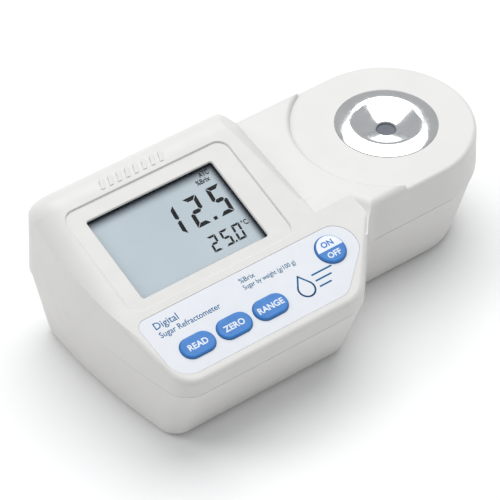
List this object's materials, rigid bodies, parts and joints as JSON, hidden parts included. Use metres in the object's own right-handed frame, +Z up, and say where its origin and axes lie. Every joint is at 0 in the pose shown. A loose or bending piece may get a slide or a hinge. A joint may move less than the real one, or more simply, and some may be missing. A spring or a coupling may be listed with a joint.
{
  "type": "handheld digital refractometer",
  "caption": "Handheld digital refractometer with a tilted display, blue keys, a stainless sample well on a round head and a twist-lock battery cover.",
  "frame": {"origin": "middle of the footprint, on the bench under the rubber feet", "axes": "+X along the length from the display end to the sample well, +Y away from the user, +Z up"},
  "size_m": [0.192, 0.102, 0.0687],
  "materials": {
    "white_case": "satin",
    "grey_label": "satin",
    "blue_key": "gloss",
    "clear_window": "clear",
    "lcd": "satin",
    "black_rubber": "matte",
    "black_plastic": "matte",
    "steel": "polished",
    "screw_steel": "satin",
    "prism_glass": "polished",
    "green_board": "gloss",
    "amber": "gloss",
    "battery_skin": "satin",
    "copper_flex": "gloss",
    "label_foil": "satin",
    "red_wire": "gloss"
  },
  "bodies": {
    "case": {"upper_case": "white_case", "lower_case": "white_case", "case_gasket": "black_rubber", "case_screws": "screw_steel", "rubber_feet": "black_rubber", "rating_label": "label_foil", "nameplate": "white_case", "lcd_window": "clear_window", "window_gasket": "black_rubber", "lcd_glass": "lcd", "lcd_holder": "black_plastic", "zebra_strips": "black_rubber", "main_pcb": "green_board", "pcb_screws": "screw_steel", "microcontroller": "black_plastic", "pcb_components": "black_plastic", "tact_switches": "black_plastic", "keypad_overlay": "grey_label", "well_disc": "steel", "well_seal": "black_rubber", "clamp_ring": "screw_steel", "prism_seal": "black_rubber", "prism": "prism_glass", "optical_block": "black_plastic", "block_screws": "screw_steel", "lamp_board": "green_board", "yellow_led": "amber", "beam_lens": "prism_glass", "sensor_board": "green_board", "image_sensor": "black_plastic", "thermistor": "black_plastic", "flex_cable": "copper_flex", "battery_9v": "battery_skin", "battery_snap": "black_plastic", "battery_leads": "red_wire"},
    "key_read": {"key_read": "blue_key"},
    "key_zero": {"key_zero": "blue_key"},
    "key_range": {"key_range": "blue_key"},
    "key_power": {"key_power": "blue_key"},
    "cover": {"battery_cover": "white_case", "cover_oring": "black_rubber"}
  },
  "joints": [
    {"name": "key_read_press", "type": "slide", "parent": "case", "child": "key_read", "axis": [0, 0.3007, -0.9537], "range_m": [0, 0.0005], "stiffness_N_per_m": 600},
    {"name": "key_zero_press", "type": "slide", "parent": "case", "child": "key_zero", "axis": [0, 0.3007, -0.9537], "range_m": [0, 0.0005], "stiffness_N_per_m": 600},
    {"name": "key_range_press", "type": "slide", "parent": "case", "child": "key_range", "axis": [0, 0.3007, -0.9537], "range_m": [0, 0.0005], "stiffness_N_per_m": 600},
    {"name": "key_power_press", "type": "slide", "parent": "case", "child": "key_power", "axis": [0, 0.3007, -0.9537], "range_m": [0, 0.0005], "stiffness_N_per_m": 600},
    {"name": "cover_twist", "type": "hinge", "parent": "case", "child": "cover", "pos_m": [-0.042, 0.003, 0.001], "axis": [0, 0, -1], "range_deg": [0, 30]}
  ]
}
